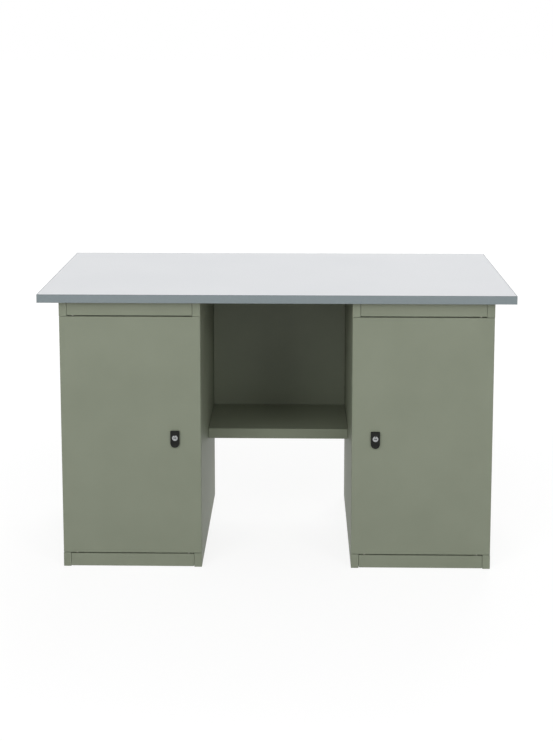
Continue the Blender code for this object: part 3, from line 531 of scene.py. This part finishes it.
# Rubber: black, matt, dusty, with a soft moulded skin
rubber = {
    "colour": "1E1E1E",
    "dust": "3A3A38",
    "roughness": 0.82,
    "dustSize": 0.002,  # m
    "skinDepth": 0.00005,
}


def rubberFinish():
    finish, tree, shader = newFinish("moulded_rubber_black")
    place = addNode(tree, "ShaderNodeTexCoord").outputs["Object"]
    dust = addNode(tree, "ShaderNodeTexNoise", None, {"Scale": 1 / rubber["dustSize"], "Detail": 3},
                   {"Vector": place})
    base = addNode(tree, "ShaderNodeMix", {"data_type": "RGBA"},
                   {6: colour(rubber["colour"]), 7: colour(rubber["dust"])}, {0: dust.outputs[0]})
    relief = addNode(tree, "ShaderNodeBump", None, {"Strength": 0.5, "Distance": rubber["skinDepth"]},
                     {"Height": dust.outputs[0]})
    shader.inputs["Roughness"].default_value = rubber["roughness"]
    tree.links.new(base.outputs[2], shader.inputs["Base Color"])
    tree.links.new(relief.outputs[0], shader.inputs["Normal"])
    return finish


paint = powderCoatFinish()
topSheet = laminateFinish()
strip = edgeStripFinish()
board = chipboardFinish()
backing = backerFinish()
zinc = zincPlateFinish()
black = mouldedBlackFinish()
white = nylonFinish()
softBlack = rubberFinish()

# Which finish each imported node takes, by the end of its name; the rest is painted sheet
finishByEnding = {
    "worktop_laminate": topSheet,
    "worktop_core": board,
    "worktop_backer": backing,
    "edge_band_front": strip,
    "edge_band_back": strip,
    "edge_band_left": strip,
    "edge_band_right": strip,
    "hinge_pin": zinc,
    "lock_housing": black,
    "lock_nut": zinc,
    "lock_cylinder": zinc,
    "lock_cam": zinc,
    "keeper": zinc,
    "glide_low_outer": white,
    "glide_low_inner": white,
    "glide_high_outer": white,
    "worktop_screw_outer": zinc,
    "worktop_screw_inner": zinc,
    "knee_shelf_bolt": zinc,
}
for name, node in frame["nodes"].items():
    finish = next((f for ending, f in finishByEnding.items() if name.endswith(ending)), paint)
    for each in node.material_slots:
        each.material = finish
print("finishes made")


# Locks: a bullet-shaped black housing with a finger scoop, round a silver cylinder
lock = {
    "width": 0.029,
    "above": 0.0223,  # from the cylinder's axis to the flat top
    "below": 0.032,  # and to the round end
    "proud": 0.007,  # of the door
    "offDoor": 0.0003,
    "corner": 0.0025,
    "edge": 0.0014,
    "facet": 0.0003,  # a narrow ring round the front face, which keeps that face flat
    "scoopTop": 0.01125,  # below the cylinder's axis
    "scoopMargin": 0.003,  # to the housing's sides and its round end
    "scoopDepth": 0.003,
    "scoopLift": 0.0004,  # its middle lies this far in front of the housing
    "bossRadius": 0.011,
    "bossEnd": 0.007,  # behind the door's face
    "seatRadius": 0.0093,
    "seatFloor": 0.0054,  # in front of the door's face
    "lip": 0.0003,  # each of the two steps that ease the seat's rim
    "lipFlares": (0.4, 0.9),  # how far each step widens the rim, as a share of the lip
    "boreGap": 0.0003,  # round the barrel
    "boreDepth": 0.04,  # passes right through
    "faceRadius": 0.009,
    "faceProud": 0.0078,
    "faceThickness": 0.0022,
    "faceEdge": 0.0007,
    "rimWidth": 0.0018,
    "grooveSteps": ((0.0003, 0.0007), (0.0004, -0.0005), (0.0003, -0.0001)),  # inwards, then backwards
    "barrelRadius": 0.008,
    "barrelEnd": 0.0257,
    "studRadius": 0.004,
    "studEnd": 0.0288,
    "headRadius": 0.006,
    "headEnd": 0.0308,
    "headEdge": 0.0005,
    "keywayReach": (0.0055, 0.004),  # the keyway lies within this of the axis, across and up
    "notchReach": (0.0018, 0.0033),  # half the notch's width, and its depth from the rim
    # the keyway and the upper notch are painted black as shade between these depths behind the face
    "blackReach": (0.0009, 0.0065),  # both are black between these depths behind the face
}

# What is cut out of the cylinder: its size, and its middle from the middle of the face
lockCuts = {
    "keyway": ((0.0092, 0.009, 0.0027), (-0.0002, 0.0015, 0.0004)),
    "ward": ((0.0018, 0.0092, 0.0046), (0.0027, 0.0015, -0.0008)),
    "notch": ((0.0034, 0.006, 0.0038), (0, 0, lock["faceRadius"] - 0.0012)),
    "low_notch": ((0.0018, 0.002, 0.0018), (-0.0012, 0, 0.0008 - lock["faceRadius"])),
    "level_cross": ((0.0056, 0.0024, 0.0011), (0, lock["faceProud"] + lock["headEnd"], 0)),
    "upright_cross": ((0.0011, 0.0026, 0.0056), (0, lock["faceProud"] + lock["headEnd"], 0)),
}


def lockHousing(axis):
    x, door, z = axis
    front = door - lock["proud"]
    back = door - lock["offDoor"]
    half = lock["width"] / 2
    turn = z - lock["below"] + half  # the round end's middle
    deselectAll()
    bpy.ops.mesh.primitive_cylinder_add(vertices=96, radius=half, depth=back - front,
                                        location=(x, (front + back) / 2, turn), rotation=(pi / 2, 0, 0))
    housing = settle("left_lock_housing_shell")
    bpy.ops.object.mode_set(mode="EDIT")
    bpy.ops.mesh.select_all(action="SELECT")
    bpy.ops.mesh.bisect(plane_co=(0, 0, turn), plane_no=(0, 0, 1), use_fill=True, clear_outer=True)
    pick(housing, "FACE", lambda m, n: n.z > 0.99)
    pull(0, 0, z + lock["above"] - turn)
    bpy.ops.mesh.select_all(action="SELECT")
    bpy.ops.mesh.dissolve_limited(angle_limit=radians(0.5))
    pick(housing, "EDGE", lambda m, d: abs(d.y) > 0.99 and m.z > z + lock["above"] - hair)
    bpy.ops.mesh.bevel(offset=lock["corner"], segments=8, affect="EDGES")
    pick(housing, "EDGE", lambda m, d: m.y < front + hair)
    bpy.ops.mesh.bevel(offset=lock["edge"], segments=6, affect="EDGES")
    pick(housing, "FACE", lambda m, n: n.y < -0.999)
    bpy.ops.mesh.inset(thickness=lock["facet"])
    bpy.ops.mesh.select_all(action="SELECT")
    bpy.ops.mesh.quads_convert_to_tris()
    # scoop, boss through the door, seat for the cylinder's face, and bore for its barrel
    scoopTop = z - lock["scoopTop"]
    scoopLow = z - lock["below"] + lock["scoopMargin"]
    scoopWidth = half - lock["scoopMargin"]
    deselectAll()
    bpy.ops.mesh.primitive_uv_sphere_add(
        segments=48, ring_count=25, radius=1,
        location=(x, front - lock["scoopLift"], (scoopTop + scoopLow) / 2))
    bpy.ops.transform.resize(value=(scoopWidth, lock["scoopDepth"], (scoopTop - scoopLow) / 2))
    carve(housing, settle("scoop"))
    deselectAll()
    bpy.ops.mesh.primitive_cylinder_add(
        vertices=64, radius=lock["bossRadius"], depth=lock["proud"] / 2 + lock["bossEnd"],
        location=(x, door + (lock["bossEnd"] - lock["proud"] / 2) / 2, z), rotation=(pi / 2, 0, 0))
    carve(housing, settle("boss"), "UNION")
    deselectAll()
    rim = front + lock["lip"]
    floor = door - lock["seatFloor"]
    bpy.ops.mesh.primitive_cylinder_add(vertices=96, radius=lock["seatRadius"], depth=floor - rim,
                                        location=(x, (floor + rim) / 2, z), rotation=(pi / 2, 0, 0))
    seat = settle("seat")
    pick(seat, "FACE", lambda m, n: n.y < -0.99)
    for share in lock["lipFlares"]:
        pull(0, -lock["lip"], 0)
        flare = 1 + lock["lip"] * share / lock["seatRadius"]
        bpy.ops.transform.resize(value=(flare, 1, flare), center_override=(x, rim, z))
    carve(housing, seat)
    deselectAll()
    bpy.ops.mesh.primitive_cylinder_add(vertices=64, radius=lock["barrelRadius"] + lock["boreGap"],
                                        depth=lock["boreDepth"], location=(x, door, z),
                                        rotation=(pi / 2, 0, 0))
    carve(housing, settle("bore"))
    polish(housing, 30)
    return housing


def lockCylinder(axis):
    x, door, z = axis
    front = door - lock["faceProud"]
    deselectAll()
    bpy.ops.mesh.primitive_cylinder_add(
        vertices=96, radius=lock["faceRadius"], depth=lock["faceThickness"],
        location=(x, front + lock["faceThickness"] / 2, z), rotation=(pi / 2, 0, 0))
    cylinder = settle("left_lock_cylinder_turned")
    middle = (x, front, z)
    # face: rim, groove, and the plug in the middle
    pick(cylinder, "EDGE", lambda m, d: m.y < front + hair)
    bpy.ops.mesh.bevel(offset=lock["faceEdge"], segments=3, affect="EDGES")
    pick(cylinder, "FACE", lambda m, n: n.y < -0.99)
    bpy.ops.mesh.inset(thickness=lock["rimWidth"])
    for inwards, backwards in lock["grooveSteps"]:
        bpy.ops.mesh.inset(thickness=inwards)
        pull(0, backwards, 0)
    # barrel, stud and its head
    pick(cylinder, "FACE", lambda m, n: n.y > 0.99)
    bpy.ops.mesh.inset(thickness=lock["faceRadius"] - lock["barrelRadius"])
    pull(0, door + lock["barrelEnd"] - (front + lock["faceThickness"]), 0)
    bpy.ops.mesh.inset(thickness=lock["barrelRadius"] - lock["studRadius"])
    pull(0, lock["studEnd"] - lock["barrelEnd"], 0)
    pull(0, 0, 0)  # the same ring once more, to be widened for the head
    wider = lock["headRadius"] / lock["studRadius"]
    bpy.ops.transform.resize(value=(wider, 1, wider), center_override=middle)
    pull(0, lock["headEnd"] - lock["studEnd"], 0)
    bpy.ops.mesh.bevel(offset=lock["headEdge"], segments=2, affect="EDGES")
    bpy.ops.object.mode_set(mode="OBJECT")
    for name, (size, place) in lockCuts.items():
        deselectAll()
        bpy.ops.mesh.primitive_cube_add(size=1, location=[m + p for m, p in zip(middle, place)])
        bpy.ops.transform.resize(value=size)
        carve(cylinder, settle(name + "_cutter"))
    polish(cylinder, 30)
    # the second material, black, is painted shade inside the keyway and the upper notch
    across, up = lock["keywayReach"]
    aside, depth = lock["notchReach"]
    near, far = lock["blackReach"]
    for face in cylinder.data.polygons:
        spot = face.center - Vector(middle)
        keyway = abs(spot.x) < across and abs(spot.z) < up
        notch = abs(spot.x) < aside and spot.z > lock["faceRadius"] - depth
        inside = near < spot.y < far
        face.material_index = 1 if inside and (keyway or notch) else 0
    return cylinder


turns = {j["name"]: j["pos_m"] for j in frame["joints"]}
axis = turns["left_lock_turn"]
across = turns["right_lock_turn"][0] - axis[0]
leftHousing = lockHousing(axis)
rightHousing = copyOf(leftHousing, "right_lock_housing_shell", across, 0, 0)
leftCylinder = lockCylinder(axis)
rightCylinder = copyOf(leftCylinder, "right_lock_cylinder_turned", across, 0, 0)
for side, housing, cylinder in (("left", leftHousing, leftCylinder),
                                ("right", rightHousing, rightCylinder)):
    housing.data.materials.append(black)
    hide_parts(side + "_lock_housing")
    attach(housing, side + "_door")
    cylinder.data.materials.append(nickelFinish("nickel_plated_zinc_" + side, turns[side + "_lock_turn"]))
    # this black is painted shade inside the keyway and the upper notch
    cylinder.data.materials.append(black)
    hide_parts(side + "_lock_cylinder")
    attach(cylinder, side + "_lock")
print("locks made")


# Pan-head screws with a cross recess, which hold the worktop from inside the cupboards
screw = {
    "headRadius": 0.005,
    "headHeight": 0.003,
    "crown": 0.0021,  # how far the head's edge is rounded
    "shankRadius": 0.0023,
    "tip": 0.005,
    "tipShare": 0.08,  # what is left of the shank's width at the tip's end
    "cross": (0.0054, 0.0011, 0.0019),  # length, width and depth of each arm
    "fromPost": 0.24,  # the outer screws lie this far to either side of the middle one
}


def crossScrew(name, under, top):
    # the head hangs below the point "under", and the tip ends at the height "top"
    x, y, z = under
    deselectAll()
    bpy.ops.mesh.primitive_cylinder_add(
        vertices=48, radius=screw["headRadius"], depth=screw["headHeight"],
        location=(x, y, z - screw["headHeight"] / 2))
    piece = settle(name)
    pick(piece, "EDGE", lambda m, d: m.z < z - screw["headHeight"] + hair)
    bpy.ops.mesh.bevel(offset=screw["crown"], segments=6, affect="EDGES")
    pick(piece, "FACE", lambda m, n: n.z > 0.99)
    bpy.ops.mesh.inset(thickness=screw["headRadius"] - screw["shankRadius"])
    pull(0, 0, top - z - screw["tip"])
    pull(0, 0, screw["tip"])
    bpy.ops.transform.resize(value=(screw["tipShare"], screw["tipShare"], 1), center_override=(x, y, top))
    # the second arm goes a little deeper, so that the two floors don't coincide
    long, wide, deep = screw["cross"]
    for size in ((long, wide, deep * 2), (wide, long, deep * 2.1)):
        deselectAll()
        bpy.ops.mesh.primitive_cube_add(size=1, location=(x, y, z - screw["headHeight"]))
        bpy.ops.transform.resize(value=size)
        carve(piece, settle("cross_cutter"))
    polish(piece, 35)
    return piece


low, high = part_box("left_worktop_screw_outer")
under = ((low.x + high.x) / 2, (low.y + high.y) / 2, low.z + screw["headHeight"])
firstScrew = crossScrew("left_worktop_screw_outer_middle", under, high.z)
worktopScrews = [firstScrew]
for side in ("left", "right"):
    for ending in ("outer", "inner"):
        low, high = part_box(side + "_worktop_screw_" + ending)
        for where, y in (("middle", 0), ("front", -screw["fromPost"]), ("back", screw["fromPost"])):
            name = side + "_worktop_screw_" + ending + "_" + where
            if name != firstScrew.name:
                worktopScrews.append(copyOf(firstScrew, name, (low.x + high.x) / 2 - under[0], y, 0))
for piece in worktopScrews:
    piece.data.materials.append(zinc)
    if piece.name.endswith("_middle"):
        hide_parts(piece.name[:-7])
    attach(piece, "bench")
print("worktop screws made:", len(worktopScrews))


# Hexagon nuts on the knee shelf's threaded studs, inside the pedestals
nut = {
    "acrossFlats": 0.010,
    "height": 0.004,
    "chamfer": 0.0006,
    "crown": 0.0003,  # how far the chamfered end rises
    "foot": 0.0006,  # off the sheet, a little inside the washer
    "studRadius": 0.003,
    "studEnd": 0.001,  # out of the nut
    "studEdge": 0.0005,
    "washerRadius": 0.0055,
    "washerHeight": 0.0008,
    "washerEdge": 0.0002,
    "sheet": 0.0013,  # from the side panel's knee side to the washer
    "apart": 0.085,  # the outer nuts lie this far to either side of the middle one
}


def studNut(name, foot, out):
    # "foot" is on the sheet that the nut clamps, and "out" is 1 or -1 along X
    x, y, z = foot
    deselectAll()
    bpy.ops.mesh.primitive_cylinder_add(
        vertices=48, radius=nut["washerRadius"], depth=nut["washerHeight"],
        location=(x + out * nut["washerHeight"] / 2, y, z), rotation=(0, pi / 2, 0))
    piece = settle(name)
    pick(piece, "FACE", lambda m, n: n.x * out > 0.99)
    bpy.ops.mesh.inset(thickness=nut["washerEdge"])
    deselectAll()
    bpy.ops.mesh.primitive_cylinder_add(
        vertices=6, radius=nut["acrossFlats"] / 3 ** 0.5, depth=nut["height"] - nut["foot"],
        location=(x + out * (nut["height"] + nut["foot"]) / 2, y, z), rotation=(0, pi / 2, 0))
    prism = settle("prism")
    pick(prism, "FACE", lambda m, n: n.x * out > 0.99)
    bpy.ops.mesh.inset(thickness=nut["chamfer"])
    bpy.ops.transform.translate(value=(out * nut["crown"], 0, 0))
    carve(piece, prism, "UNION")
    deselectAll()
    end = nut["height"] + nut["crown"] + nut["studEnd"]
    bpy.ops.mesh.primitive_cylinder_add(vertices=32, radius=nut["studRadius"], depth=end,
                                        location=(x + out * end / 2, y, z), rotation=(0, pi / 2, 0))
    stud = settle("stud")
    pick(stud, "EDGE", lambda m, d: (m.x - x) * out > end - hair)
    bpy.ops.mesh.bevel(offset=nut["studEdge"], segments=2, affect="EDGES")
    carve(piece, stud, "UNION")
    polish(piece, 30)
    return piece


shelfNuts = []
for side, out in (("left", -1), ("right", 1)):
    low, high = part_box(side + "_knee_shelf_bolt")
    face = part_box(side + "_inner_side")[0 if side == "right" else 1].x + out * nut["sheet"]
    shelfMiddle = (low.y + high.y) / 2
    nuts = [studNut(side + "_knee_shelf_nut", (face, shelfMiddle, (low.z + high.z) / 2), out)]
    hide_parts(side + "_knee_shelf_bolt")
    for where, y in (("front", -nut["apart"]), ("back", nut["apart"])):
        nuts.append(copyOf(nuts[0], side + "_knee_shelf_nut_" + where, 0, y, 0))
    shelfNuts += nuts
for piece in shelfNuts:
    piece.data.materials.append(zinc)
    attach(piece, "bench")
print("knee shelf nuts made:", len(shelfNuts))


# Buffers: rubber domes on the posts' set-back flanges, where the doors' free edges close on them
buffer = {
    "radius": 0.0045,
    "foot": 0.0009,
    "shoulder": 0.0008,
    "height": 0.0041,
    "dome": 0.0024,
    "fromKnee": 0.0095,  # from the pedestal's knee side
    "flange": -0.3225,  # the flange's face, along Y
    "heights": (0.11, 0.76),  # above the floor
}


def doorBuffer(name, x, z):
    y = buffer["flange"]
    deselectAll()
    bpy.ops.mesh.primitive_cylinder_add(vertices=48, radius=buffer["radius"], depth=buffer["foot"],
                                        location=(x, y - buffer["foot"] / 2, z), rotation=(pi / 2, 0, 0))
    piece = settle(name)
    pick(piece, "FACE", lambda m, n: n.y < -0.99)
    bpy.ops.mesh.inset(thickness=buffer["shoulder"])
    pull(0, buffer["foot"] - buffer["height"], 0)
    pick(piece, "EDGE", lambda m, d: m.y < y - buffer["height"] + hair)
    bpy.ops.mesh.bevel(offset=buffer["dome"], segments=7, affect="EDGES")
    polish(piece, 40)
    return piece


buffers = []
for side, sign in (("left", -1), ("right", 1)):
    knee = min(abs(corner.x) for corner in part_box(side + "_inner_side"))
    for where, z in zip(("low", "high"), buffer["heights"]):
        name = side + "_door_buffer_" + where
        if buffers:
            x = sign * (knee + buffer["fromKnee"])
            buffers.append(copyOf(buffers[0], name, x - firstX, 0, z - buffer["heights"][0]))
        else:
            firstX = sign * (knee + buffer["fromKnee"])
            buffers.append(doorBuffer(name, firstX, z))
for piece in buffers:
    piece.data.materials.append(softBlack)
    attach(piece, "bench")
print("door buffers made:", len(buffers))


# Spot-weld marks: shallow round dents that still show under the powder coat. They follow the
# trays along the side panels, and the stiffener inside each door.
weld = {
    "radius": 0.0034,
    "thickness": 0.0006,
    "rim": 0.00012,  # the pressed-up rim stands this far off the sheet
    "rimWidth": 0.0009,
    "rimEdge": 0.0001,
    "slope": 0.0006,
    "dent": 0.0002,  # its floor lies this far under the rim
    "sides": (-0.27, 0.25, 6),  # first, last and number along the side panels
    "doors": (0.11, 0.76, 7),  # the same up the doors
    "doorSheets": 0.0023,  # from the door's face to the inside of its stiffener's feet
    "footMiddle": 0.0075,  # of the stiffener's feet, from their edges
}


def weldRow(name, spots, normal):
    # one mark at the first spot, and copies of it at the others, joined
    facing = Vector(normal)
    deselectAll()
    bpy.ops.mesh.primitive_cylinder_add(
        vertices=24, radius=weld["radius"], depth=weld["thickness"],
        location=Vector(spots[0]) - facing * (weld["thickness"] / 2 - weld["rim"]),
        rotation=facing.to_track_quat("Z", "Y").to_euler())
    mark = settle(name)
    front = Vector(spots[0]).dot(facing) + weld["rim"]
    pick(mark, "FACE", lambda m, n: n.dot(facing) > 0.99)
    bpy.ops.mesh.inset(thickness=weld["rimWidth"])
    bpy.ops.mesh.inset(thickness=weld["slope"])
    bpy.ops.transform.translate(value=-facing * weld["dent"])
    pick(mark, "EDGE", lambda m, d: m.dot(facing) > front - hair / 10)
    bpy.ops.mesh.bevel(offset=weld["rimEdge"], segments=1, affect="EDGES")
    deselectAll()
    copies = [copyOf(mark, name + "_next", *(Vector(spot) - Vector(spots[0]))) for spot in spots[1:]]
    deselectAll()
    for each in [mark] + copies:
        each.select_set(True)
    bpy.context.view_layer.objects.active = mark
    bpy.ops.object.join()
    mark.name = name
    polish(mark, 60)
    return mark


def evenly(first, last, count):
    return [first + (last - first) * i / (count - 1) for i in range(count)]


weldRows = []
trayHeights = (sum(corner.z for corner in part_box("left_base")) / 2,
               sum(corner.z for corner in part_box("left_top_panel")) / 2)
for side, sign in (("left", -1), ("right", 1)):
    for ending, out in (("_outer_side", sign), ("_inner_side", -sign)):
        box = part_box(side + ending)
        x = max((corner.x for corner in box), key=lambda value: value * out)
        spots = [(x, y, z) for z in trayHeights for y in evenly(*weld["sides"])]
        weldRows.append((weldRow(side + ending + "_welds", spots, (out, 0, 0)), "bench"))
    low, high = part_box(side + "_door_stiffener")
    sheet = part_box(side + "_door_skin")[0].y + weld["doorSheets"]
    spots = [(x, sheet, z) for x in (low.x + weld["footMiddle"], high.x - weld["footMiddle"])
             for z in evenly(*weld["doors"])]
    weldRows.append((weldRow(side + "_door_welds", spots, (0, 1, 0)), side + "_door"))
for piece, body in weldRows:
    piece.data.materials.append(paint)
    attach(piece, body)
print("rows of spot welds made:", len(weldRows))


# Studio: a white floor and backdrop, and large soft lamps
studio = {
    "floorSize": 120,
    "floorDrop": 0.0002,  # under the bench's feet
    "floorColour": "F7F7F7",
    "floorRoughness": 0.9,
    "floorSpecularLevel": 0.1,
    "floorGlow": 0.8,  # share of plain white that the camera sees close to the bench
    "glowNear": 0.9,  # m from the bench's middle, where that share starts to grow
    "glowFar": 3.0,  # and where all is white
    "glowStrength": 1.07,  # a little over white, so that the floor and the backdrop meet unseen
    "roomLight": 0.29,  # an even light from all sides
    "aim": (0, 0, 0.5),  # what the lamps point at
}

# Each lamp's place, its width and height in metres, its power in watts, and whether it is mirrored
lamps = {
    "key_lamp": ((-0.5, -5.1, 5.2), (4, 3), 110, True),
    "left_lamp": ((-2.9, -4.1, 2.2), (1.8, 1.8), 66, False),
    "right_lamp": ((2.9, -4.1, 2.2), (1.8, 1.8), 62, False),
    "back_lamp": ((0.8, 4.5, 4.6), (4, 2), 160, False),
}


def seenDirectly(tree):
    # 1 for rays from the camera and for reflected or refracted ones, 0 for those that carry light
    ray = addNode(tree, "ShaderNodeLightPath")
    first = addNode(tree, "ShaderNodeMath", {"operation": "MAXIMUM"}, None,
                    {0: ray.outputs["Is Camera Ray"], 1: ray.outputs["Is Glossy Ray"]})
    return addNode(tree, "ShaderNodeMath", {"operation": "MAXIMUM"}, None,
                   {0: first.outputs[0], 1: ray.outputs["Is Transmission Ray"]}).outputs[0]


room = bpy.data.worlds.new("white_room")
bpy.context.scene.world = room
room.use_nodes = True
tree = room.node_tree
tree.nodes.clear()
soft = addNode(tree, "ShaderNodeBackground", None,
               {"Color": (1, 1, 1, 1), "Strength": studio["roomLight"]})
plain = addNode(tree, "ShaderNodeBackground", None, {"Color": (1, 1, 1, 1), "Strength": 1})
sky = addNode(tree, "ShaderNodeMixShader", None, None,
              {0: seenDirectly(tree), 1: soft.outputs[0], 2: plain.outputs[0]})
addNode(tree, "ShaderNodeOutputWorld", links={"Surface": sky.outputs[0]})

deselectAll()
bpy.ops.mesh.primitive_plane_add(size=studio["floorSize"], location=(0, 0, -studio["floorDrop"]))
floor = settle("studio_floor")
paper, tree, shader = newFinish("white_paper")
shader.inputs["Base Color"].default_value = colour(studio["floorColour"])
shader.inputs["Roughness"].default_value = studio["floorRoughness"]
shader.inputs["Specular IOR Level"].default_value = studio["floorSpecularLevel"]
output = next(n for n in tree.nodes if n.type == "OUTPUT_MATERIAL")
glow = addNode(tree, "ShaderNodeEmission", None,
               {"Color": (1, 1, 1, 1), "Strength": studio["glowStrength"]})
spot = addNode(tree, "ShaderNodeTexCoord").outputs["Object"]
distance = addNode(tree, "ShaderNodeVectorMath", {"operation": "LENGTH"}, None, {0: spot})
far = addNode(tree, "ShaderNodeMapRange", {"interpolation_type": "SMOOTHSTEP"},
              {"From Min": studio["glowNear"], "From Max": studio["glowFar"],
               "To Min": studio["floorGlow"]},
              {"Value": distance.outputs["Value"]})
share = addNode(tree, "ShaderNodeMath", {"operation": "MULTIPLY"}, None,
                {0: far.outputs[0], 1: seenDirectly(tree)})
surface = addNode(tree, "ShaderNodeMixShader", None, None,
                  {0: share.outputs[0], 1: shader.outputs[0], 2: glow.outputs[0]})
tree.links.new(surface.outputs[0], output.inputs["Surface"])
floor.data.materials.append(paper)


def softLamp(name, place, size, power, mirrored):
    deselectAll()
    bpy.ops.object.light_add(type="AREA", location=place)
    lamp = bpy.context.object
    lamp.name = name
    lamp.data.shape = "RECTANGLE"
    lamp.data.size, lamp.data.size_y = size
    lamp.data.energy = power
    lamp.visible_glossy = mirrored
    towards = Vector(studio["aim"]) - Vector(place)
    lamp.rotation_euler = towards.to_track_quat("-Z", "Y").to_euler()


for name, values in lamps.items():
    softLamp(name, *values)
print("studio lit")
